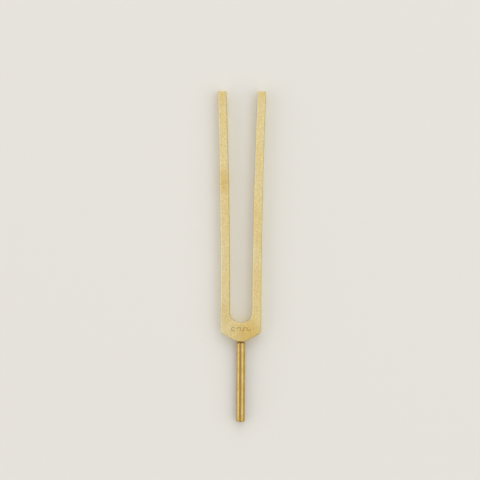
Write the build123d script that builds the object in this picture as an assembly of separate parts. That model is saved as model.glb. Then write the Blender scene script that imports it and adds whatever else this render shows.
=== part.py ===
from build123d import *
import os
from math import cos, radians, sin, sqrt, tan

# A tuning fork. Its two tines and their yoke are one piece, cut from flat brass bar. A round
# brass stem stands against the yoke's nose: a short spigot on its end sits in a round recess
# there, and a stud hidden in the two of them holds it.
# The fork lies on one face of the bar. +Y runs from the stem's foot to the tines' tips, +X
# across the tines, +Z up. The origin is under the fork's middle, on the face it lies on.
# All sizes are in millimetres and all angles in degrees.

# Tines and yoke
BAR_THICKNESS = 8.0
TINE_LENGTH = 168.2  # crotch to tips
TINE_ROOT_WIDTH = 6.4
TINE_TIP_WIDTH = 6.0
TINE_SPREAD = 2.85  # how far out each tine leans at its tip, in an even curve from its root
SLOT_WIDTH = 16.4  # at the roots; the crotch is a half round of the same width
CROTCH_DEPTH = 13.7  # metal from the crotch to the nose
NOSE_RADIUS = 9.9
YOKE_SLOPE = 29.5  # of the yoke's two flanks, which run from the nose to its corners
YOKE_CORNER_RADIUS = 3.0
EDGE_BREAK = 0.5  # chamfer along both faces and down the corners of the tips

# Stem
STEM_DIAMETER = 6.35  # quarter-inch rod
STEM_REACH = 58.1  # nose to foot
STEM_FOOT_CHAMFER = 0.6
SPIGOT_LENGTH = 0.65
SPIGOT_WALL = 0.4  # of the spigot, around the stud

# Recess for the spigot, in the curved nose
RECESS_CLEARANCE = 0.15  # around the spigot
RECESS_LAND = 0.1  # depth of the recess where it is shallowest

# Stud. Its thread and the two tapped holes are drawn plain, at the thread's nominal size.
STUD_DIAMETER = 4.0
STUD_LENGTH = 14.0
STUD_IN_YOKE = 6.5  # the rest of its length is in the stem
STUD_END_CHAMFER = 0.5
STUD_KEY_FLATS = 2.0
STUD_KEY_DEPTH = 2.0
HOLE_END_ROOM = 0.8  # between an end of the stud and the end of its hole
DRILL_POINT = 118.0

# Pitch mark, engraved in the upper face: the note's letter and a wave
MARK_DEPTH = 0.15
MARK_STROKE = 0.45
MARK_BELOW_CROTCH = 4.2  # crotch to the mark's middle line
MARK_LETTER_RADIUS = 1.3
MARK_LETTER_MOUTH = 100.0
MARK_LETTER_GAP = 1.6
MARK_WAVE_RADIUS = 1.2
MARK_WAVE_ARCS = 4

# Stations along Y
OVERALL_LENGTH = STEM_REACH + CROTCH_DEPTH + TINE_LENGTH
FOOT_Y = -OVERALL_LENGTH / 2
NOSE_Y = FOOT_Y + STEM_REACH
CROTCH_Y = NOSE_Y + CROTCH_DEPTH
ROOT_Y = CROTCH_Y + SLOT_WIDTH / 2
TIP_Y = CROTCH_Y + TINE_LENGTH

YOKE_HALF = SLOT_WIDTH / 2 + TINE_ROOT_WIDTH
AXIS_Z = BAR_THICKNESS / 2
SPIGOT_RADIUS = STUD_DIAMETER / 2 + SPIGOT_WALL
RECESS_RADIUS = SPIGOT_RADIUS + RECESS_CLEARANCE
SEAT_Y = NOSE_Y + NOSE_RADIUS - sqrt(NOSE_RADIUS**2 - RECESS_RADIUS**2) + RECESS_LAND
MATCH = 0.01  # how near a vertex is to the height that picks it


def on_axis(shape, y):
    """A shape made upwards around Z, laid along +Y on the stem's axis with its origin at y."""
    return Pos(0, y, AXIS_Z) * Rot(X=-90) * shape


def turned(points):
    """A solid of revolution around Z, from the (radius, height) points of its outline."""
    profile = make_face(Plane.XZ * Polyline(points, close=True))
    return revolve(profile, Axis.Z)


def tapped_hole(depth):
    """The space of a blind hole that goes up from the origin to its drilled point."""
    radius = STUD_DIAMETER / 2
    point = radius / tan(radians(DRILL_POINT / 2))
    return turned([(0, 0), (radius, 0), (radius, depth), (0, depth + point)])


def at_y(outline, y):
    """The outline's vertices at one height."""
    return outline.vertices().filter_by_position(Axis.Y, y - MATCH, y + MATCH)


def body_outline():
    """The outline of the tines and yoke, seen from above."""
    slope = radians(YOKE_SLOPE)
    flank_x = NOSE_RADIUS * sin(slope)
    flank_y = NOSE_Y + NOSE_RADIUS * (1 - cos(slope))
    corner_y = flank_y + (YOKE_HALF - flank_x) * tan(slope)
    slot_half = SLOT_WIDTH / 2
    tip_out = YOKE_HALF + TINE_SPREAD
    tip_in = tip_out - TINE_TIP_WIDTH
    edges = [
        ThreePointArc((-flank_x, flank_y), (0, NOSE_Y), (flank_x, flank_y)),
        ThreePointArc((-slot_half, ROOT_Y), (0, CROTCH_Y), (slot_half, ROOT_Y)),
    ]
    for side in (-1, 1):
        edges += [
            Line((side * flank_x, flank_y), (side * YOKE_HALF, corner_y)),
            Line((side * YOKE_HALF, corner_y), (side * YOKE_HALF, ROOT_Y)),
            TangentArc((side * YOKE_HALF, ROOT_Y), (side * tip_out, TIP_Y), tangent=(0, 1)),
            Line((side * tip_out, TIP_Y), (side * tip_in, TIP_Y)),
            TangentArc((side * slot_half, ROOT_Y), (side * tip_in, TIP_Y), tangent=(0, 1)),
        ]
    outline = make_face(edges)
    outline = fillet(at_y(outline, corner_y), YOKE_CORNER_RADIUS)
    return chamfer(at_y(outline, TIP_Y), EDGE_BREAK)


def pitch_mark():
    """The mark's strokes, flat, centred on the origin."""
    letter_width = 2 * MARK_LETTER_RADIUS
    arc_width = 2 * MARK_WAVE_RADIUS
    left = -(letter_width + MARK_LETTER_GAP + MARK_WAVE_ARCS * arc_width) / 2
    letter = CenterArc(
        (left + MARK_LETTER_RADIUS, 0),
        MARK_LETTER_RADIUS,
        MARK_LETTER_MOUTH / 2,
        360 - MARK_LETTER_MOUTH,
    )
    wave = []
    for i in range(MARK_WAVE_ARCS):
        x = left + letter_width + MARK_LETTER_GAP + i * arc_width
        crest = MARK_WAVE_RADIUS * (-1) ** i
        wave.append(ThreePointArc((x, 0), (x + MARK_WAVE_RADIUS, crest), (x + arc_width, 0)))
    return trace(letter, MARK_STROKE) + trace(wave, MARK_STROKE)


def fork_body():
    """The tines and yoke, with the spigot's recess, the stud's hole and the pitch mark."""
    body = extrude(body_outline(), BAR_THICKNESS)
    faces = body.faces().sort_by(Axis.Z)
    body = chamfer(faces[0].edges() + faces[-1].edges(), EDGE_BREAK)
    recess = Cylinder(
        RECESS_RADIUS, SEAT_Y - FOOT_Y, align=(Align.CENTER, Align.CENTER, Align.MIN)
    )
    body -= on_axis(recess, FOOT_Y)
    body -= on_axis(tapped_hole(STUD_IN_YOKE + HOLE_END_ROOM), SEAT_Y)
    mark = Pos(0, CROTCH_Y - MARK_BELOW_CROTCH, BAR_THICKNESS) * pitch_mark()
    return body - extrude(mark, -MARK_DEPTH)


def stem_rod():
    """The stem, with its spigot, the tapped hole in that end and a chamfered foot."""
    radius = STEM_DIAMETER / 2
    length = SEAT_Y - FOOT_Y
    shoulder = length - SPIGOT_LENGTH
    rod = turned(
        [
            (0, 0),
            (radius - STEM_FOOT_CHAMFER, 0),
            (radius, STEM_FOOT_CHAMFER),
            (radius, shoulder - (radius - SPIGOT_RADIUS)),
            (SPIGOT_RADIUS, shoulder),
            (SPIGOT_RADIUS, length),
            (0, length),
        ]
    )
    hole = tapped_hole(STUD_LENGTH - STUD_IN_YOKE + HOLE_END_ROOM)
    return on_axis(rod - Pos(0, 0, length) * Rot(X=180) * hole, FOOT_Y)


def joining_stud():
    """The stud, with the hexagon socket that drives it in its stem end."""
    radius = STUD_DIAMETER / 2
    stud = turned(
        [
            (0, 0),
            (radius - STUD_END_CHAMFER, 0),
            (radius, STUD_END_CHAMFER),
            (radius, STUD_LENGTH - STUD_END_CHAMFER),
            (radius - STUD_END_CHAMFER, STUD_LENGTH),
            (0, STUD_LENGTH),
        ]
    )
    key = extrude(RegularPolygon(STUD_KEY_FLATS / 2, 6, major_radius=False), STUD_KEY_DEPTH)
    return on_axis(stud - key, SEAT_Y + STUD_IN_YOKE - STUD_LENGTH)


os.makedirs("parts", exist_ok=True)
for name, make in (
    ("fork_body", fork_body),
    ("stem_rod", stem_rod),
    ("joining_stud", joining_stud),
):
    export_step(make(), f"parts/{name}.step")
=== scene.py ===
"""Looks of a brass tuning fork.

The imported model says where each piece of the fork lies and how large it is. The three pieces are
made again here with softened edges, an engraved mark and a cut thread, and each gets its finish.
All lengths are in metres and all angles in degrees, unless a name says otherwise.
"""

import logging
import math
from dataclasses import dataclass
from enum import Enum

import bpy
from mathutils import Matrix, Vector


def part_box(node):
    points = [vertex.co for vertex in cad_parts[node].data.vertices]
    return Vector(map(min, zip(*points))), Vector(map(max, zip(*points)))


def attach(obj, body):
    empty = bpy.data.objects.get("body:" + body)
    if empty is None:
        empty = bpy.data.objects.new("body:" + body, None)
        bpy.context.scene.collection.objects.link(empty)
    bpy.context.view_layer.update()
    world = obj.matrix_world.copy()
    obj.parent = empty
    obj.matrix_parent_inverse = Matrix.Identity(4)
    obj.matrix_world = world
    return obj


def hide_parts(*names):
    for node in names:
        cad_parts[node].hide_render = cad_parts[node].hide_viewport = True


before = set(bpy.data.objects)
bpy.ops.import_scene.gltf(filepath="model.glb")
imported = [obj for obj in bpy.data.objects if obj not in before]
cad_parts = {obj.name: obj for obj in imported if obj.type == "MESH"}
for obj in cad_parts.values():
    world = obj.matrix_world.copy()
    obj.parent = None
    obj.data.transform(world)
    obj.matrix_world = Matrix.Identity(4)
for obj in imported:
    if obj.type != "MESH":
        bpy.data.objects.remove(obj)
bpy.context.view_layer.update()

MM = 0.001
ROOT_BODY = "root"
CORNER = "corner_radius"
ENGRAVED = "engraved"
EASED = "eased_edge"
LYING = -math.pi / 2  # the turn that lays a piece made along +Z along +Y
FINE_WELD = 0.001 * MM
WELD = 0.002 * MM
NOISE_LOW, NOISE_HIGH = 0.3, 0.7  # soft noise lies mostly between these
LOG = logging.getLogger("tuning_fork")

Point = tuple[float, float, float]
Colour = tuple[float, float, float, float]


# Node trees


class Graph:
    """A node tree that is being built."""

    def __init__(self, tree: bpy.types.NodeTree) -> None:
        """Keeps the tree that the nodes go into."""
        self.tree = tree

    def node(self, kind: str, feeds: dict | None = None, **settings: object) -> bpy.types.Node:
        """Adds a node and feeds its inputs.

        Args:
            kind: the node's type name.
            feeds: input name or number, to a value or another node's output.
            settings: the node's own properties.

        Returns:
            The new node.
        """
        made = self.tree.nodes.new(kind)
        for name, value in settings.items():
            setattr(made, name, value)
        for key, value in (feeds or {}).items():
            if isinstance(value, bpy.types.NodeSocket):
                self.tree.links.new(value, made.inputs[key])
            else:
                made.inputs[key].default_value = value
        return made

    def math(self, operation: str, *values: object) -> bpy.types.NodeSocket:
        """Adds a Math node.

        Args:
            operation: what it does, such as "ADD".
            values: its operands, each a number or an output.

        Returns:
            The result's socket.
        """
        return self.node("ShaderNodeMath", dict(enumerate(values)), operation=operation).outputs[0]

    def held(self, value: object) -> bpy.types.NodeSocket:
        """Keeps a value between 0 and 1."""
        return self.node("ShaderNodeClamp", {0: value}).outputs[0]

    def vector(self, x: object = 0.0, y: object = 0.0, z: object = 0.0) -> bpy.types.NodeSocket:
        """Puts three numbers together as a vector."""
        return self.node("ShaderNodeCombineXYZ", {0: x, 1: y, 2: z}).outputs[0]

    def split(self, vector: bpy.types.NodeSocket) -> list[bpy.types.NodeSocket]:
        """Takes a vector's three numbers apart."""
        return list(self.node("ShaderNodeSeparateXYZ", {0: vector}).outputs)

    def ramp(
        self, value: object, low: float, high: object, to_low: float = 0.0, to_high: float = 1.0
    ) -> bpy.types.NodeSocket:
        """Adds a smooth Map Range node.

        Args:
            value: what it reads.
            low: the reading that gives to_low.
            high: the reading that gives to_high.
            to_low: the result at and below low.
            to_high: the result at and above high.

        Returns:
            The result's socket.
        """
        feeds = {"Value": value, "From Min": low, "From Max": high, "To Min": to_low, "To Max": to_high}
        return self.node("ShaderNodeMapRange", feeds, interpolation_type="SMOOTHSTEP").outputs[0]

    def mixed(self, share: object, first: object, second: object, way: str = "MIX") -> bpy.types.NodeSocket:
        """Mixes two colours.

        Args:
            share: how much of the second colour.
            first: a colour or an output.
            second: a colour or an output.
            way: how the second is laid on the first.

        Returns:
            The mixed colour.
        """
        feeds = {0: share, 6: first, 7: second}
        return self.node("ShaderNodeMix", feeds, data_type="RGBA", blend_type=way).outputs[2]


class ShapeTree(Graph):
    """A geometry node tree with named inputs."""

    def __init__(self, name: str) -> None:
        """Starts an empty tree that takes and gives one geometry.

        Args:
            name: the tree's name.
        """
        super().__init__(bpy.data.node_groups.new(name, "GeometryNodeTree"))
        self.tree.interface.new_socket("Geometry", in_out="INPUT", socket_type="NodeSocketGeometry")
        self.tree.interface.new_socket("Geometry", in_out="OUTPUT", socket_type="NodeSocketGeometry")
        self.given = self.node("NodeGroupInput")

    def size(self, name: str) -> bpy.types.NodeSocket:
        """Adds a named number input and returns its socket."""
        self.tree.interface.new_socket(name, in_out="INPUT", socket_type="NodeSocketFloat")
        return self.given.outputs[name]

    def count(self, name: str) -> bpy.types.NodeSocket:
        """Adds a named whole number input and returns its socket."""
        self.tree.interface.new_socket(name, in_out="INPUT", socket_type="NodeSocketInt")
        return self.given.outputs[name]

    def shape(self, name: str) -> bpy.types.NodeSocket:
        """Adds a named object input and returns that object's geometry."""
        self.tree.interface.new_socket(name, in_out="INPUT", socket_type="NodeSocketObject")
        return self.node("GeometryNodeObjectInfo", {"Object": self.given.outputs[name]}).outputs["Geometry"]

    def drawing(self) -> bpy.types.NodeSocket:
        """Returns the geometry that the tree is run on."""
        return self.given.outputs["Geometry"]

    def place(self) -> list[bpy.types.NodeSocket]:
        """Returns each point's x, y and z."""
        return self.split(self.node("GeometryNodeInputPosition").outputs[0])

    def moved(self, shape: object, **feeds: object) -> bpy.types.NodeSocket:
        """Moves each point of a shape to Position, or by Offset."""
        return self.node("GeometryNodeSetPosition", {"Geometry": shape, **feeds}).outputs[0]

    def joined(self, *shapes: bpy.types.NodeSocket) -> bpy.types.NodeSocket:
        """Puts shapes together as one geometry.

        Args:
            shapes: the shapes' sockets.

        Returns:
            The geometry's socket.
        """
        join = self.node("GeometryNodeJoinGeometry")
        for shape in shapes:
            self.tree.links.new(shape, join.inputs[0])
        return join.outputs[0]

    def merged(self, shape: object, distance: float) -> bpy.types.NodeSocket:
        """Merges points that lie within a distance of each other."""
        return self.node("GeometryNodeMergeByDistance", {"Geometry": shape, "Distance": distance}).outputs[0]

    def rounded(self, line: bpy.types.NodeSocket, steps: object) -> bpy.types.NodeSocket:
        """Turns a line of edges into a curve whose corners are rounded.

        Args:
            line: edges whose points hold their corner's radius as an attribute.
            steps: how many points each corner gets.

        Returns:
            The curve's socket.
        """
        curve = self.node("GeometryNodeMeshToCurve", {"Mesh": line}).outputs[0]
        radius = self.node("GeometryNodeInputNamedAttribute", {"Name": CORNER}, data_type="FLOAT").outputs[0]
        feeds = {"Curve": curve, "Count": steps, "Radius": radius}
        return self.node("GeometryNodeFilletCurve", feeds, mode="POLY").outputs[0]

    def swept(self, path: object, profile: object, caps: bool = False) -> bpy.types.NodeSocket:
        """Sweeps a profile along a level path.

        Args:
            path: the path. The profile's x points out of it, to its right, and its y points down.
            profile: the profile's curve.
            caps: whether the two ends are filled.

        Returns:
            The skin's socket.
        """
        level = self.node("GeometryNodeSetCurveNormal", {"Curve": path}, mode="Z_UP").outputs[0]
        feeds = {"Curve": level, "Profile Curve": profile, "Fill Caps": caps}
        return self.node("GeometryNodeCurveToMesh", feeds).outputs[0]

    def engraved(self, strokes: object, radius: object, height: object) -> bpy.types.NodeSocket:
        """Makes the space that a round graver sweeps along strokes, and names its faces.

        Args:
            strokes: edges that lie where the strokes go.
            radius: the graver's radius.
            height: how high above the strokes its middle runs.

        Returns:
            The space's socket.
        """
        curve = self.node("GeometryNodeMeshToCurve", {"Mesh": strokes}).outputs[0]
        curve = self.moved(curve, Offset=self.vector(z=height))
        around = 20
        feeds = {"Resolution": around, "Radius": radius}
        ring = self.node("GeometryNodeCurvePrimitiveCircle", feeds, mode="RADIUS").outputs[0]
        ends = self.node("GeometryNodeCurveEndpointSelection", {"Start Size": 1, "End Size": 1}).outputs[0]
        ball_share = 0.97  # a little under the ring, so that no two faces coincide
        ball_radius = self.math("MULTIPLY", radius, ball_share)
        feeds = {"Segments": around, "Rings": around // 2, "Radius": ball_radius}
        ball = self.node("GeometryNodeMeshUVSphere", feeds).outputs[0]
        feeds = {"Points": curve, "Selection": ends, "Instance": ball}
        balls = self.node("GeometryNodeInstanceOnPoints", feeds).outputs[0]
        balls = self.node("GeometryNodeRealizeInstances", {"Geometry": balls}).outputs[0]
        feeds = {"Self Intersection": True}
        union = self.node("GeometryNodeMeshBoolean", feeds, operation="UNION", solver="EXACT")
        self.tree.links.new(self.joined(self.swept(curve, ring, caps=True), balls), union.inputs["Mesh 2"])
        return self.named(union.outputs[0], ENGRAVED, 1.0)

    def named(self, shape: object, name: str, value: object) -> bpy.types.NodeSocket:
        """Keeps a number on each face, which a finish can read by its name.

        Args:
            shape: the shape whose faces they are.
            name: the name to keep it under.
            value: the number, or an output that gives one for each face.

        Returns:
            The shape's socket.
        """
        feeds = {"Geometry": shape, "Name": name, "Value": value}
        settings = {"data_type": "FLOAT", "domain": "FACE"}
        return self.node("GeometryNodeStoreNamedAttribute", feeds, **settings).outputs[0]

    def cut(self, solid: object, tool: object) -> bpy.types.NodeSocket:
        """Takes a tool's space out of a solid."""
        feeds = {"Mesh 1": solid, "Mesh 2": tool}
        return self.node("GeometryNodeMeshBoolean", feeds, operation="DIFFERENCE", solver="EXACT").outputs[0]

    def laid(self, upright: object) -> bpy.types.NodeSocket:
        """Places a piece that was made upwards around Z, by three more named inputs.

        Args:
            upright: the piece.

        Returns:
            The placed piece's socket.
        """
        place = self.vector(0.0, self.size("Base Y"), self.size("Base Z"))
        turn = self.vector(self.size("Tilt"))
        feeds = {"Geometry": upright, "Translation": place, "Rotation": turn}
        return self.node("GeometryNodeTransform", feeds).outputs[0]

    def close(self, result: bpy.types.NodeSocket) -> "ShapeTree":
        """Ends the tree: one real mesh, with the material of the input called Finish.

        Args:
            result: the finished geometry.

        Returns:
            The tree itself.
        """
        self.tree.interface.new_socket("Finish", in_out="INPUT", socket_type="NodeSocketMaterial")
        smooth = self.node("GeometryNodeSetShadeSmooth", {"Geometry": result}).outputs[0]
        real = self.node("GeometryNodeRealizeInstances", {"Geometry": smooth}).outputs[0]
        feeds = {"Geometry": real, "Material": self.given.outputs["Finish"]}
        dressed = self.node("GeometryNodeSetMaterial", feeds).outputs[0]
        self.node("NodeGroupOutput", {"Geometry": dressed})
        return self


# Drawings that the trees are run on


@dataclass(frozen=True)
class Corner:
    """A point of a line, and how far its corner is rounded."""

    x: float
    y: float
    radius: float = 0.0

    def mirrored(self) -> "Corner":
        """Returns the same corner on the fork's other side."""
        return Corner(-self.x, self.y, self.radius)


def arc(x: float, y: float, radius: float, start: float, end: float, steps: int) -> list[Corner]:
    """Draws an arc.

    Args:
        x: the centre's x.
        y: the centre's y.
        radius: the arc's radius.
        start: the angle it starts at.
        end: the angle it ends at.
        steps: how many pieces it is drawn in.

    Returns:
        Its points.
    """
    angles = [math.radians(start + (end - start) * i / steps) for i in range(steps + 1)]
    return [Corner(x + radius * math.cos(a), y + radius * math.sin(a)) for a in angles]


def drill_tip(radius: float, angle: float) -> float:
    """Returns how far a drill's pointed end reaches past its full width."""
    return radius / math.tan(math.radians(angle / 2))


def in_scene(thing: bpy.types.Object) -> bpy.types.Object:
    """Links an object to the scene and returns it."""
    bpy.context.scene.collection.objects.link(thing)
    return thing


def line_of(name: str, chains: list[list[Corner]], closed: bool = False) -> bpy.types.Object:
    """Draws lines of edges.

    Args:
        name: the drawing's name.
        chains: the corners of each line, in order.
        closed: whether each line comes back to its first corner.

    Returns:
        The object that holds the edges.
    """
    points: list[Point] = []
    edges: list[tuple[int, int]] = []
    radii: list[float] = []
    for chain in chains:
        first, count = len(points), len(chain)
        points += [(corner.x, corner.y, 0.0) for corner in chain]
        radii += [corner.radius for corner in chain]
        edges += [(first + i, first + (i + 1) % count) for i in range(count if closed else count - 1)]
    mesh = bpy.data.meshes.new(name)
    mesh.from_pydata(points, edges, [])
    mesh.attributes.new(CORNER, "FLOAT", "POINT").data.foreach_set("value", radii)
    return in_scene(bpy.data.objects.new(name, mesh))


def as_mesh(source: bpy.types.Object, name: str) -> bpy.types.Object:
    """Turns what an object's modifiers make into a plain mesh, and removes the object.

    Args:
        source: the object with its modifiers.
        name: the name of the new object.

    Returns:
        The new object, with no modifiers.
    """
    graph = bpy.context.evaluated_depsgraph_get()
    mesh = bpy.data.meshes.new_from_object(
        source.evaluated_get(graph), preserve_all_data_layers=True, depsgraph=graph
    )
    bpy.data.objects.remove(source)
    mesh.name = name
    return in_scene(bpy.data.objects.new(name, mesh))


def shaped(name: str, drawing: bpy.types.Object, shape: ShapeTree, inputs: dict) -> bpy.types.Object:
    """Runs a shape tree on a drawing.

    Args:
        name: the name of the piece that comes out.
        drawing: the drawing, which is used up.
        shape: the tree to run.
        inputs: the value of each of the tree's named inputs.

    Returns:
        The piece, as a plain mesh.
    """
    step = drawing.modifiers.new(name, "NODES")
    step.node_group = shape.tree
    for item in shape.tree.interface.items_tree:
        if item.in_out == "INPUT" and item.name in inputs:
            step[item.identifier] = inputs[item.name]
    return as_mesh(drawing, name)


def softened(piece: bpy.types.Object, sharp: float = 35.0) -> bpy.types.Object:
    """Shades flats as flat and small roundings as round.

    Args:
        piece: the piece, as a plain mesh.
        sharp: the angle between two faces from which their edge stays sharp.

    Returns:
        The piece, with its shading normals kept in its mesh.
    """
    piece.data.set_sharp_from_angle(angle=math.radians(sharp))
    weighted = piece.modifiers.new("Flats", "WEIGHTED_NORMAL")
    weighted.keep_sharp = True
    return as_mesh(piece, piece.name)


# Shapes that the pieces are made with


def turning_tree() -> ShapeTree:
    """Makes the tree that turns a half outline into a round piece.

    The outline's x is the radius and its y is the height. It starts on the axis, and has the
    solid on its right-hand side as it goes.

    Returns:
        The tree.
    """
    tree = ShapeTree("Turning")
    sides = tree.count("Sides")
    outline = tree.rounded(tree.drawing(), tree.count("Corner Steps"))
    guide = 0.01 * MM
    x, y, _ = tree.place()
    swung = tree.vector(tree.math("SUBTRACT", x, guide), tree.math("MULTIPLY", y, -1.0))
    outline = tree.moved(outline, Position=swung)
    feeds = {"Resolution": sides, "Radius": guide}
    ring = tree.node("GeometryNodeCurvePrimitiveCircle", feeds, mode="RADIUS").outputs[0]
    return tree.close(tree.laid(tree.merged(tree.swept(ring, outline), FINE_WELD)))


def bar_tree() -> ShapeTree:
    """Makes the tree that cuts the tines and yoke from bar.

    It rounds the outline's corners, bends and tapers the tines, carries the edge's profile all
    the way round, closes both faces, and then bores the seat and engraves the mark.

    Returns:
        The tree.
    """
    tree = ShapeTree("Cutting from bar")
    thick = tree.size("Thickness")
    outline = tree.rounded(tree.drawing(), tree.count("Corner Steps"))

    x, y, z = tree.place()
    along = tree.math("DIVIDE", tree.math("SUBTRACT", y, tree.size("Root Y")), tree.size("Tine Reach"))
    along = tree.held(along)
    across = tree.math("SUBTRACT", tree.math("ABSOLUTE", x), tree.size("Slot Half"))
    across = tree.held(tree.math("DIVIDE", across, tree.size("Root Width")))
    taper = tree.math("MULTIPLY", tree.size("Taper"), tree.math("SUBTRACT", 1.0, across))
    lean = tree.math("MULTIPLY", tree.math("ADD", tree.size("Spread"), taper), tree.math("SIGN", x))
    shift = tree.math("MULTIPLY", tree.math("MULTIPLY", along, along), lean)
    path = tree.moved(outline, Offset=tree.vector(shift))
    rim = tree.swept(path, tree.rounded(tree.shape("Edge Profile"), tree.count("Edge Steps")))
    facing_up = tree.math("ABSOLUTE", tree.split(tree.node("GeometryNodeInputNormal").outputs[0])[2])
    halfway, either_way = 0.5, 0.45
    rim = tree.named(rim, EASED, tree.math("COMPARE", facing_up, halfway, either_way))

    # An open edge of the rim has one face beside it, and every other edge has two.
    faces_beside = tree.node("GeometryNodeInputMeshEdgeNeighbors").outputs[0]
    open_edge = tree.math("LESS_THAN", faces_beside, 1.5)
    upper = tree.math("GREATER_THAN", z, tree.math("MULTIPLY", thick, 0.5))
    lower = tree.math("SUBTRACT", 1.0, upper)
    flats = []
    for side in (upper, lower):
        feeds = {"Mesh": rim, "Selection": tree.math("MULTIPLY", open_edge, side)}
        loop = tree.node("GeometryNodeMeshToCurve", feeds).outputs[0]
        flats.append(tree.node("GeometryNodeFillCurve", {"Curve": loop}, mode="NGONS").outputs[0])
    top = tree.moved(flats[0], Offset=tree.vector(z=thick))
    bottom = tree.node("GeometryNodeFlipFaces", {"Mesh": flats[1]}).outputs[0]
    bar = tree.merged(tree.joined(rim, top, bottom), WELD)

    mark = tree.engraved(tree.shape("Mark"), tree.size("Graver Radius"), tree.size("Graver Height"))
    return tree.close(tree.merged(tree.cut(tree.cut(bar, tree.shape("Bore")), mark), WELD))


def thread_tree() -> ShapeTree:
    """Makes the tree that cuts a screw thread on a rod and a hexagon socket in its foot.

    Returns:
        The tree.
    """
    tree = ShapeTree("Threading")
    radius, length = tree.size("Radius"), tree.size("Length")
    pitch, depth = tree.size("Pitch"), tree.size("Thread Depth")
    feeds = {"Vertices": tree.count("Sides"), "Side Segments": tree.count("Rings")}
    feeds |= {"Radius": radius, "Depth": length}
    rod = tree.node("GeometryNodeMeshCylinder", feeds, fill_type="TRIANGLE_FAN").outputs["Mesh"]

    x, y, z = tree.place()
    turns = tree.math("DIVIDE", tree.math("ARCTAN2", y, x), math.tau)
    phase = tree.math("FRACT", tree.math("ADD", tree.math("DIVIDE", z, pitch), tree.math("ADD", turns, 0.5)))
    flank = tree.math("ABSOLUTE", tree.math("MULTIPLY_ADD", phase, 2.0, -1.0))
    crest_share, root_share = 1 / 8, 1 / 4
    flank = tree.math("SUBTRACT", flank, crest_share)
    flank = tree.held(tree.math("DIVIDE", flank, 1.0 - crest_share - root_share))
    cut_to = tree.math("SUBTRACT", radius, tree.math("MULTIPLY", depth, flank))
    to_end = tree.math("SUBTRACT", tree.math("MULTIPLY", length, 0.5), tree.math("ABSOLUTE", z))
    end_radius = tree.math("SUBTRACT", radius, tree.size("End Chamfer"))
    cut_to = tree.math("MINIMUM", cut_to, tree.math("ADD", end_radius, to_end))
    squares = tree.math("ADD", tree.math("POWER", x, 2.0), tree.math("POWER", y, 2.0))
    share = tree.math("DIVIDE", cut_to, tree.math("SQRT", squares))
    place = tree.vector(tree.math("MULTIPLY", x, share), tree.math("MULTIPLY", y, share), z)
    rod = tree.moved(rod, Position=place)

    half = tree.math("MULTIPLY", length, 0.5)
    rod = tree.moved(rod, Offset=tree.vector(z=half))
    key_depth = tree.size("Key Depth")
    corner_radius = tree.math("DIVIDE", tree.size("Key Flats"), 2 * math.cos(math.pi / 6))
    feeds = {"Vertices": 6, "Radius": corner_radius, "Depth": tree.math("MULTIPLY", key_depth, 2.0)}
    key = tree.node("GeometryNodeMeshCylinder", feeds).outputs["Mesh"]
    return tree.close(tree.laid(tree.cut(rod, key)))


# Finishes


def dimmed(colour: Colour, share: float) -> Colour:
    """Returns a colour with only a share of its brightness."""
    red, green, blue, alpha = colour
    return share * red, share * green, share * blue, alpha


class Lay(Enum):
    """Which way the fine marks of a finish run. Each value says how far they run along x, y, z."""

    ALONG = (0.0, 1.0, 0.0)
    AROUND = (1.0, 0.0, 1.0)


class Shading(Graph):
    """A material's nodes, around one Principled shader."""

    def __init__(self, name: str) -> None:
        """Starts a material with its shader and its object coordinates.

        Args:
            name: the material's name.
        """
        self.material = bpy.data.materials.new(name)
        self.material.use_nodes = True
        super().__init__(self.material.node_tree)
        self.shader = self.tree.nodes["Principled BSDF"]
        self.coordinates = self.node("ShaderNodeTexCoord").outputs["Object"]

    def marks(self, width: float, length: float, lay: Lay, detail: float = 2.0) -> bpy.types.NodeSocket:
        """Makes soft streaks.

        Args:
            width: how far apart they are.
            length: how long they are.
            lay: which way they run.
            detail: how many finer layers they have.

        Returns:
            Their strength, around 0.5.
        """
        scale = tuple(1.0 / (length if runs else width) for runs in lay.value)
        place = self.node("ShaderNodeMapping", {"Vector": self.coordinates, "Scale": scale}).outputs[0]
        feeds = {"Vector": place, "Scale": 1.0, "Detail": detail, "Roughness": 0.55}
        return self.node("ShaderNodeTexNoise", feeds, normalize=True).outputs[0]

    def patches(self, size: float, detail: float = 2.0) -> bpy.types.NodeSocket:
        """Makes soft patches of one size, around 0.5."""
        feeds = {"Vector": self.coordinates, "Scale": 1.0 / size, "Detail": detail}
        return self.node("ShaderNodeTexNoise", feeds, normalize=True).outputs[0]

    def named(self, name: str) -> bpy.types.NodeSocket:
        """Reads the number that the shape keeps under a name, or 0 where it keeps none."""
        return self.node("ShaderNodeAttribute", attribute_name=name).outputs["Fac"]

    def feed(self, **inputs: object) -> None:
        """Feeds the shader's inputs.

        Args:
            inputs: the value or the output for each input, whose name has _ for a space.
        """
        for name, value in inputs.items():
            socket = self.shader.inputs[name.replace("_", " ")]
            if isinstance(value, bpy.types.NodeSocket):
                self.tree.links.new(value, socket)
            else:
                socket.default_value = value

    def bumped(self, height: object, depth: float) -> None:
        """Gives the surface a fine relief of that depth."""
        feeds = {"Height": height, "Distance": depth, "Strength": 1.0}
        self.feed(Normal=self.node("ShaderNodeBump", feeds).outputs[0])


@dataclass(frozen=True)
class TarnishAndHighlightSpot:
    """A place where fingers have darkened the metal; a share below 0 makes it a painted highlight, paler
    metal standing in for a reflection.
    """

    x: float
    y: float
    reach: float
    share: float
    core: float = 0.15

    def share_on(self, shading: Shading) -> bpy.types.NodeSocket:
        """Makes the spot's strength over a finish.

        Args:
            shading: the finish's nodes.

        Returns:
            The strength, which fades out at the spot's reach.
        """
        x, y, _ = shading.split(shading.coordinates)
        flat = shading.vector(x, y, 0.0)
        away = shading.node("ShaderNodeVectorMath", {0: flat, 1: (self.x, self.y, 0.0)}, operation="DISTANCE")
        return shading.ramp(away.outputs["Value"], self.core * self.reach, self.reach, self.share, 0.0)


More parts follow.
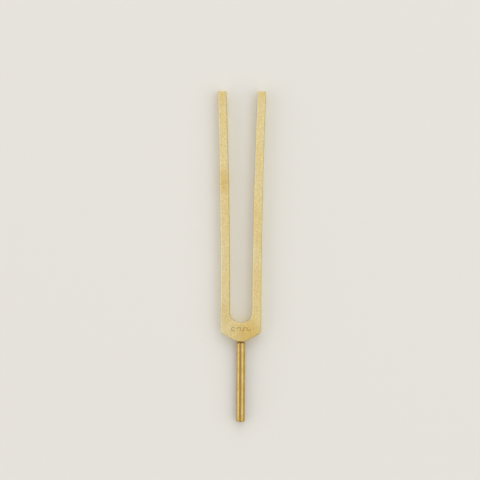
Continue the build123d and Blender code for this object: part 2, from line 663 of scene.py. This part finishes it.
@dataclass(frozen=True)
class Brass:
    """Worked brass: fine tool marks, wider streaks, a grain and patches of darker tarnish.

    Its eased edges are burnished, its engraved lines are dark, and painted shade darkens the yoke's nose.
    """

    name: str
    fresh: Colour
    tarnished: Colour
    lay: Lay
    roughness: float
    mark_width: float
    mark_depth: float
    mark_share: float
    patch_share: float
    patch_size: float = 28 * MM
    grain_size: float = 1.1 * MM
    grain: Colour = (0.86, 0.85, 0.81, 1.0)
    engraved: Colour = (0.47, 0.33, 0.155, 1.0)
    edge_roughness: float = 0.28
    tarnish_and_highlight_spots: tuple[TarnishAndHighlightSpot, ...] = ()
    # Painted shade: a dark brown, its strength, and the band across the piece where it falls.
    painted_shade: Colour = (0.40, 0.24, 0.08, 1.0)
    painted_shade_share: float = 0.6
    painted_shade_y: float = 0.0
    painted_shade_reach: float = 0.0

    def metal(self, shading: Shading, patches: object, streaks: object) -> bpy.types.NodeSocket:
        """Mixes fresh and tarnished metal, with its tarnish spots and its painted highlight spots.

        Args:
            shading: the finish's nodes.
            patches: the strength of its patches.
            streaks: the strength of its wider streaks.

        Returns:
            The metal's colour, without its marks.
        """
        share = shading.ramp(patches, 0.38, 0.68, 0.0, self.patch_share)
        share = shading.math("ADD", share, shading.ramp(streaks, 0.35, 0.7, -0.05, 0.08))
        # Each spot adds tarnish, or with a share below 0 paints a highlight.
        for spot in self.tarnish_and_highlight_spots:
            share = shading.math("ADD", share, spot.share_on(shading))
        return shading.mixed(shading.held(share), self.fresh, self.tarnished)

    def marked(self, shading: Shading, colour: object, lines: object) -> bpy.types.NodeSocket:
        """Lays the marks, the grain, the engraving and the painted shade at the nose on the metal's colour.

        Args:
            shading: the finish's nodes.
            colour: the metal's colour.
            lines: the strength of its tool marks.

        Returns:
            The colour with all of them.
        """
        darker = dimmed(self.fresh, 0.86)
        share = shading.math("MULTIPLY", lines, self.mark_share)
        colour = shading.mixed(share, colour, darker, "MULTIPLY")
        grain = shading.ramp(shading.patches(self.grain_size), NOISE_LOW, NOISE_HIGH)
        colour = shading.mixed(grain, colour, self.grain, "MULTIPLY")
        colour = shading.mixed(shading.named(ENGRAVED), colour, self.engraved)
        # Painted shade: dark brown across a band at the yoke's nose, where the stem meets it.
        if self.painted_shade_reach:
            y = shading.split(shading.coordinates)[1]
            away = shading.math("ABSOLUTE", shading.math("SUBTRACT", y, self.painted_shade_y))
            painted_shade = shading.ramp(away, 0.5 * self.painted_shade_reach, self.painted_shade_reach, self.painted_shade_share, 0.0)
            colour = shading.mixed(painted_shade, colour, self.painted_shade)
        return colour

    def dulled(self, shading: Shading, patches: object, lines: object) -> bpy.types.NodeSocket:
        """Makes the roughness: a little more in the marks and patches, and less on eased edges.

        Args:
            shading: the finish's nodes.
            patches: the strength of its patches.
            lines: the strength of its tool marks.

        Returns:
            The roughness.
        """
        swing = 0.12
        rough = shading.math("MULTIPLY_ADD", lines, swing, self.roughness - swing / 2)
        rough = shading.math("ADD", rough, shading.ramp(patches, NOISE_LOW, NOISE_HIGH, -0.03, 0.05))
        burnished = shading.math("MULTIPLY", shading.named(EASED), self.roughness - self.edge_roughness)
        return shading.math("SUBTRACT", rough, burnished)

    def make(self) -> bpy.types.Material:
        """Makes the material.

        Returns:
            The material.
        """
        shading = Shading(self.name)
        mark_length, streak_width, streak_length = (share * self.mark_width for share in (60, 5, 120))
        fine = shading.marks(self.mark_width, mark_length, self.lay)
        streaks = shading.marks(streak_width, streak_length, self.lay, detail=3.0)
        patches = shading.patches(self.patch_size)
        lines = shading.ramp(fine, NOISE_LOW, NOISE_HIGH)
        shading.feed(
            Base_Color=self.marked(shading, self.metal(shading, patches, streaks), lines),
            Metallic=1.0,
            Roughness=self.dulled(shading, patches, lines),
        )
        shading.bumped(shading.math("MULTIPLY_ADD", streaks, 0.5, fine), self.mark_depth)
        return shading.material


@dataclass(frozen=True)
class BlackedSteel:
    """Steel with an oiled black oxide skin, worn to grey where it rubs."""

    name: str = "blacked_steel"
    skin: Colour = (0.035, 0.036, 0.042, 1.0)
    worn: Colour = (0.22, 0.22, 0.225, 1.0)

    def make(self) -> bpy.types.Material:
        """Makes the material.

        Returns:
            The material.
        """
        shading = Shading(self.name)
        rubbed = shading.ramp(shading.marks(0.4 * MM, 1.6 * MM, Lay.AROUND), 0.5, 0.75, 0.0, 0.8)
        grain = shading.patches(0.25 * MM, detail=3.0)
        shading.feed(
            Base_Color=shading.mixed(rubbed, self.skin, self.worn),
            Metallic=0.85,
            Roughness=shading.ramp(grain, NOISE_LOW, NOISE_HIGH, 0.32, 0.48),
        )
        shading.bumped(grain, 0.004 * MM)
        return shading.material


@dataclass(frozen=True)
class StudioPaper:
    """A pale, matt sweep with fine fibres in it."""

    name: str = "studio_paper"
    tint: Colour = (0.755, 0.765, 0.77, 1.0)

    def make(self) -> bpy.types.Material:
        """Makes the material.

        Returns:
            The material.
        """
        shading = Shading(self.name)
        fibres = shading.patches(1.2 * MM, detail=4.0)
        shading.feed(Base_Color=shading.mixed(fibres, self.tint, dimmed(self.tint, 0.97)), Roughness=0.9)
        return shading.material


# The fork's pieces


@dataclass(frozen=True)
class Piece:
    """One piece of the fork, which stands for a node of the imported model."""

    node: str
    slot: str
    finish: Brass | BlackedSteel

    def low(self) -> Vector:
        """Returns the lowest corner of the node."""
        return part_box(self.node)[0]

    def high(self) -> Vector:
        """Returns the highest corner of the node."""
        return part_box(self.node)[1]

    def shape(self, material: bpy.types.Material) -> bpy.types.Object:
        """Makes the piece's mesh with its material on it."""
        raise NotImplementedError

    def build(self) -> bpy.types.Object:
        """Makes the piece, dresses it and puts it on the fork.

        Returns:
            The finished piece.
        """
        piece = self.shape(self.finish.make())
        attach(piece, ROOT_BODY)
        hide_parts(self.node)
        LOG.info("%s: %d faces, in %s", piece.name, len(piece.data.polygons), self.finish.name)
        return piece


@dataclass(frozen=True)
class PitchMark:
    """The engraved mark: the note's letter and a wave beside it."""

    stroke: float = 0.45 * MM
    depth: float = 0.15 * MM
    below_crotch: float = 4.2 * MM
    letter_radius: float = 1.3 * MM
    letter_mouth: float = 100.0
    letter_gap: float = 1.6 * MM
    wave_radius: float = 1.2 * MM
    wave_arcs: int = 4

    def graver_radius(self) -> float:
        """Returns the radius of the graver that leaves this stroke at this depth."""
        return (self.stroke**2 / 4 + self.depth**2) / (2 * self.depth)

    def strokes(self, y: float) -> bpy.types.Object:
        """Draws the mark's middle lines.

        Args:
            y: where the mark's own middle line is.

        Returns:
            The drawing.
        """
        letter_width, arc_width = 2 * self.letter_radius, 2 * self.wave_radius
        left = -(letter_width + self.letter_gap + self.wave_arcs * arc_width) / 2
        mouth = self.letter_mouth / 2
        letter_steps, wave_steps = 28, 16
        letter = arc(left + self.letter_radius, y, self.letter_radius, mouth, 360 - mouth, letter_steps)
        wave: list[Corner] = []
        for i in range(self.wave_arcs):
            middle = left + letter_width + self.letter_gap + (i + 0.5) * arc_width
            end = 0.0 if i % 2 == 0 else 360.0
            wave += arc(middle, y, self.wave_radius, 180.0, end, wave_steps)[min(i, 1):]
        return line_of("mark_strokes", [letter, wave])


@dataclass(frozen=True)
class ForkBody(Piece):
    """The two tines and their yoke, cut in one from bar."""

    mark: PitchMark = PitchMark()
    tine_length: float = 168.2 * MM
    root_width: float = 6.4 * MM
    tip_width: float = 6.0 * MM
    spread: float = 2.85 * MM
    slot_width: float = 16.4 * MM
    nose_radius: float = 9.9 * MM
    yoke_slope: float = 29.5
    yoke_corner_radius: float = 3.0 * MM
    edge_break: float = 0.5 * MM
    edge_softness: float = 0.28 * MM
    edge_strip: float = 0.7 * MM
    tip_corner_radius: float = 0.8 * MM
    recess_radius: float = 2.55 * MM
    bore_radius: float = 2.0 * MM
    bore_depth: float = 7.3 * MM
    drill_point: float = 118.0
    tine_steps: int = 20

    def outline(self) -> list[Corner]:
        """Draws half of the outline, as it is before the tines are bent.

        Returns:
            The right-hand corners, from beside the nose up to the tip and down to the crotch.
        """
        slope = math.radians(self.yoke_slope)
        slot_half = self.slot_width / 2
        half = slot_half + self.root_width
        flank_x = self.nose_radius * math.sin(slope)
        flank_y = self.low().y + self.nose_radius * (1 - math.cos(slope))
        corner_y = flank_y + (half - flank_x) * math.tan(slope)
        tip_y = self.high().y
        crotch_y = tip_y - self.tine_length
        root_y = crotch_y + slot_half
        reach = tip_y - root_y
        heights = [root_y + reach * i / self.tine_steps for i in range(self.tine_steps)]
        right = [Corner(half, corner_y, self.yoke_corner_radius)]
        right += [Corner(half, y) for y in heights]
        right += [Corner(x, tip_y, self.tip_corner_radius) for x in (half, slot_half)]
        right += [Corner(slot_half, y) for y in reversed(heights[1:])]
        nearly_all = 0.999  # so that the crotch's two roundings stop just short of each other
        right.append(Corner(slot_half, crotch_y, nearly_all * slot_half))
        return right

    def edge_profile(self) -> list[Corner]:
        """Draws the bar's edge in section.

        Returns:
            Its corners, from the upper face down to the lower one.
        """
        deep, edge, soft = self.high().z, self.edge_break, self.edge_softness
        inner = -self.edge_strip
        upper = [Corner(inner, -deep), Corner(-edge, -deep, soft), Corner(0.0, edge - deep, soft)]
        return upper + [Corner(0.0, -edge, soft), Corner(-edge, 0.0, soft), Corner(inner, 0.0)]

    def shape(self, material: bpy.types.Material) -> bpy.types.Object:
        """Cuts the body from bar, bores it and engraves it.

        Args:
            material: its finish.

        Returns:
            The body.
        """
        slope = math.radians(self.yoke_slope)
        apex_y = self.low().y - self.nose_radius * (1 / math.cos(slope) - 1)
        right = self.outline()
        around = [Corner(0.0, apex_y, self.nose_radius), *right]
        around += [corner.mirrored() for corner in reversed(right)]
        thickness, crotch_y = self.high().z, self.high().y - self.tine_length
        stem_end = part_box("stem_rod")[1].y
        clear = -3 * MM
        point = self.bore_depth + drill_tip(self.bore_radius, self.drill_point)
        space = [Corner(0.0, point), Corner(self.bore_radius, self.bore_depth)]
        space += [Corner(self.bore_radius, 0.0), Corner(self.recess_radius, 0.0)]
        space += [Corner(self.recess_radius, clear), Corner(0.0, clear)]
        place = {"Base Y": stem_end, "Base Z": thickness / 2, "Tilt": LYING}
        inputs = {"Sides": 64, "Corner Steps": 1, **place}
        bore = shaped("bore_space", line_of("bore_outline", [space]), turning_tree(), inputs)
        strokes = self.mark.strokes(crotch_y - self.mark.below_crotch)
        profile = line_of("edge_section", [self.edge_profile()])
        graver = self.mark.graver_radius()
        root_y = crotch_y + self.slot_width / 2
        inputs = {
            "Thickness": thickness,
            "Corner Steps": 12,
            "Edge Steps": 4,
            "Root Y": root_y,
            "Tine Reach": self.high().y - root_y,
            "Slot Half": self.slot_width / 2,
            "Root Width": self.root_width,
            "Taper": self.root_width - self.tip_width,
            "Spread": self.spread,
            "Edge Profile": profile,
            "Bore": bore,
            "Mark": strokes,
            "Graver Radius": graver,
            "Graver Height": thickness + graver - self.mark.depth,
            "Finish": material,
        }
        body = shaped("tines_and_yoke", line_of("body_outline", [around], closed=True), bar_tree(), inputs)
        for used in (bore, strokes, profile):
            bpy.data.objects.remove(used)
        return softened(body)


@dataclass(frozen=True)
class StemRod(Piece):
    """The turned stem, with a spigot and a tapped hole in its upper end."""

    foot_chamfer: float = 0.6 * MM
    spigot_length: float = 0.65 * MM
    spigot_radius: float = 2.4 * MM
    bore_radius: float = 2.0 * MM
    bore_depth: float = 8.3 * MM
    drill_point: float = 118.0
    softness: float = 0.16 * MM

    def shape(self, material: bpy.types.Material) -> bpy.types.Object:
        """Turns the stem.

        Args:
            material: its finish.

        Returns:
            The stem.
        """
        low, high = self.low(), self.high()
        radius, length = (high.x - low.x) / 2, high.y - low.y
        shoulder, bottom = length - self.spigot_length, length - self.bore_depth
        bore, soft = self.bore_radius, self.softness
        point = bottom - drill_tip(bore, self.drill_point)
        half = [Corner(0.0, point), Corner(bore, bottom), Corner(bore, length)]
        half += [Corner(self.spigot_radius, length), Corner(self.spigot_radius, shoulder)]
        half += [Corner(radius, shoulder - (radius - self.spigot_radius), soft)]
        half += [Corner(radius, self.foot_chamfer, soft), Corner(radius - self.foot_chamfer, 0.0, soft)]
        half.append(Corner(0.0, 0.0))
        inputs = {
            "Sides": 96,
            "Corner Steps": 5,
            "Base Y": low.y,
            "Base Z": (low.z + high.z) / 2,
            "Tilt": LYING,
            "Finish": material,
        }
        return softened(shaped("stem", line_of("stem_outline", [half]), turning_tree(), inputs))


@dataclass(frozen=True)
class JoiningStud(Piece):
    """The threaded stud that holds the stem to the yoke."""

    pitch: float = 0.7 * MM
    thread_depth: float = 0.38 * MM
    end_chamfer: float = 0.5 * MM
    key_flats: float = 2.0 * MM
    key_depth: float = 2.0 * MM
    rings_per_turn: int = 12

    def shape(self, material: bpy.types.Material) -> bpy.types.Object:
        """Threads the stud and sinks its socket.

        Args:
            material: its finish.

        Returns:
            The stud.
        """
        low, high = self.low(), self.high()
        length = high.y - low.y
        inputs = {
            "Radius": (high.z - low.z) / 2,
            "Length": length,
            "Pitch": self.pitch,
            "Thread Depth": self.thread_depth,
            "Sides": 40,
            "Rings": round(length / self.pitch * self.rings_per_turn),
            "End Chamfer": self.end_chamfer,
            "Key Flats": self.key_flats,
            "Key Depth": self.key_depth,
            "Base Y": low.y,
            "Base Z": (low.z + high.z) / 2,
            "Tilt": LYING,
            "Finish": material,
        }
        return softened(shaped("stud", line_of("stud_axis", [[Corner(0.0, 0.0)]]), thread_tree(), inputs))


# The studio


@dataclass(frozen=True)
class Softbox:
    """A large soft light that looks at the fork from off the overhead."""

    name: str
    towards_x: float
    towards_y: float
    lean: float
    distance: float
    width: float
    height: float
    radiance: float
    colour: tuple[float, float, float] = (1.0, 0.985, 0.96)

    def build(self) -> None:
        """Hangs the light, turned to the fork, where a camera can't see it."""
        lean = math.radians(self.lean)
        level = Vector((self.towards_x, self.towards_y, 0.0)).normalized()
        direction = level * math.sin(lean) + Vector((0.0, 0.0, math.cos(lean)))
        data = bpy.data.lights.new(self.name, "AREA")
        data.shape, data.size, data.size_y = "RECTANGLE", self.width, self.height
        data.energy = self.radiance * math.pi * self.width * self.height
        data.color = self.colour
        light = in_scene(bpy.data.objects.new(self.name, data))
        light.visible_camera = False
        light.location = direction * self.distance
        across = Vector((0.0, 0.0, 1.0)).cross(direction).normalized()
        up = direction.cross(across)
        light.rotation_euler = matrix_of(across, up, direction).to_euler()


def matrix_of(x: Vector, y: Vector, z: Vector) -> Matrix:
    """Makes the turn whose axes point along three directions."""
    return Matrix((x, y, z)).transposed()


@dataclass(frozen=True)
class Studio:
    """The sweep, the lights, what shows between them, and the camera overhead.

    The camera sees a width of field at the height of the fork's upper face, around the aim.
    """

    lens_mm: float = 120.0
    sensor_mm: float = 36.0
    field: float = 347.9 * MM
    aim_x: float = -0.98 * MM
    aim_y: float = 12.14 * MM
    turn: float = 0.28
    floor_radius: float = 4.0
    overhead: Colour = (0.53, 0.48, 0.42, 1.0)
    horizon: Colour = (0.78, 0.77, 0.75, 1.0)
    horizon_reach: float = 0.14
    dark_side: Colour = (0.10, 0.09, 0.08, 1.0)
    dark_reach: float = 0.4
    dark_from: float = 0.8

    def camera(self) -> None:
        """Puts the camera straight above the fork's upper face."""
        data = bpy.data.cameras.new("camera")
        data.lens, data.sensor_width = self.lens_mm, self.sensor_mm
        camera = in_scene(bpy.data.objects.new("camera", data))
        above = self.field * self.lens_mm / self.sensor_mm
        camera.location = (self.aim_x, self.aim_y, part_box("fork_body")[1].z + above)
        camera.rotation_euler = (0.0, 0.0, math.radians(self.turn))
        bpy.context.scene.camera = camera

    def floor(self) -> None:
        """Lays the floor."""
        line = [Corner(0.0, 0.0), Corner(self.floor_radius, 0.0)]
        below_fork = -0.02 * MM
        inputs = {"Sides": 96, "Corner Steps": 1, "Base Z": below_fork, "Finish": StudioPaper().make()}
        shaped("floor", line_of("floor_line", [line]), turning_tree(), inputs)

    def lights(self) -> None:
        """Hangs the lights, which all look at the fork."""
        boxes = (
            Softbox(
                name="low_box_left",
                towards_x=-1.0,
                towards_y=-0.15,
                lean=65.0,
                distance=6.4,
                width=12.0,
                height=5.2,
                radiance=0.95,
            ),
            Softbox(
                name="high_box_right",
                towards_x=1.0,
                towards_y=-0.15,
                lean=48.0,
                distance=6.4,
                width=12.0,
                height=7.08,
                radiance=0.92,
                colour=(0.95, 0.985, 0.95),
            ),
            Softbox(
                name="box_past_tips",
                towards_x=0.0,
                towards_y=1.0,
                lean=56.0,
                distance=6.4,
                width=8.8,
                height=6.4,
                radiance=1.15,
            ),
        )
        for box in boxes:
            box.build()

    def surround(self) -> None:
        """Sets what shows between the lights.

        Overhead it is dim and warm. Low down it is pale to the left and past the tips, and dark to
        the right and past the foot, which draws the edges on that side.
        """
        world = bpy.data.worlds.new("surround")
        world.use_nodes = True
        graph = Graph(world.node_tree)
        x, y, z = graph.split(graph.node("ShaderNodeTexCoord").outputs["Object"])
        shaded = graph.ramp(graph.math("SUBTRACT", x, y), 0.0, self.dark_from)
        low_down = graph.mixed(shaded, self.horizon, self.dark_side)
        reach = graph.math("MULTIPLY_ADD", shaded, self.dark_reach - self.horizon_reach, self.horizon_reach)
        share = graph.ramp(graph.math("ABSOLUTE", z), 0.0, reach)
        colour = graph.mixed(share, low_down, self.overhead)
        graph.tree.links.new(colour, graph.tree.nodes["Background"].inputs[0])
        bpy.context.scene.world = world
        bpy.context.scene.view_settings.view_transform = "Standard"

    def build(self) -> None:
        """Sets the studio up, camera first."""
        self.camera()
        self.floor()
        self.lights()
        self.surround()


def main() -> None:
    """Builds the studio and the fork's three pieces, in order."""
    logging.basicConfig(level=logging.INFO, format="%(relativeCreated)6.0f ms  %(message)s")
    Studio().build()
    body_brass = Brass(
        name="ground_brass",
        fresh=(0.895, 0.80, 0.495, 1.0),
        tarnished=(0.805, 0.635, 0.265, 1.0),
        lay=Lay.ALONG,
        roughness=0.6,
        mark_width=0.25 * MM,
        mark_depth=0.006 * MM,
        mark_share=0.25,
        patch_share=0.3,
        tarnish_and_highlight_spots=(
            TarnishAndHighlightSpot(-15.6 * MM, 55 * MM, 14 * MM, 0.72),
            TarnishAndHighlightSpot(-17.0 * MM, 121 * MM, 16 * MM, 0.45),
            TarnishAndHighlightSpot(17.0 * MM, 121 * MM, 12 * MM, 0.35),
            TarnishAndHighlightSpot(-12.0 * MM, -40 * MM, 14 * MM, 0.3),
            TarnishAndHighlightSpot(12.6 * MM, 11 * MM, 8 * MM, 0.3),
            TarnishAndHighlightSpot(5.0 * MM, -58 * MM, 17 * MM, 0.7),
        ),
        # The painted shade falls in a band across the yoke's nose, where the stem meets it.
        painted_shade_y=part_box("fork_body")[0].y,
        painted_shade_reach=1.0 * MM,
    )
    stem_brass = Brass(
        name="turned_brass",
        fresh=(0.655, 0.49, 0.19, 1.0),
        tarnished=(0.58, 0.39, 0.11, 1.0),
        lay=Lay.AROUND,
        roughness=0.3,
        mark_width=0.2 * MM,
        mark_depth=0.001 * MM,
        mark_share=0.3,
        patch_share=0.7,
        patch_size=9 * MM,
        grain_size=0.9 * MM,
        grain=(0.9, 0.9, 0.88, 1.0),
        # A painted highlight: paler metal near the top of the stem's right side.
        tarnish_and_highlight_spots=(TarnishAndHighlightSpot(2.4 * MM, -66 * MM, 6 * MM, -0.7),),
    )
    ForkBody("fork_body", "body_brass", body_brass).build()
    StemRod("stem_rod", "stem_brass", stem_brass).build()
    JoiningStud("joining_stud", "stud_steel", BlackedSteel()).build()


if __name__ == "__main__":
    main()
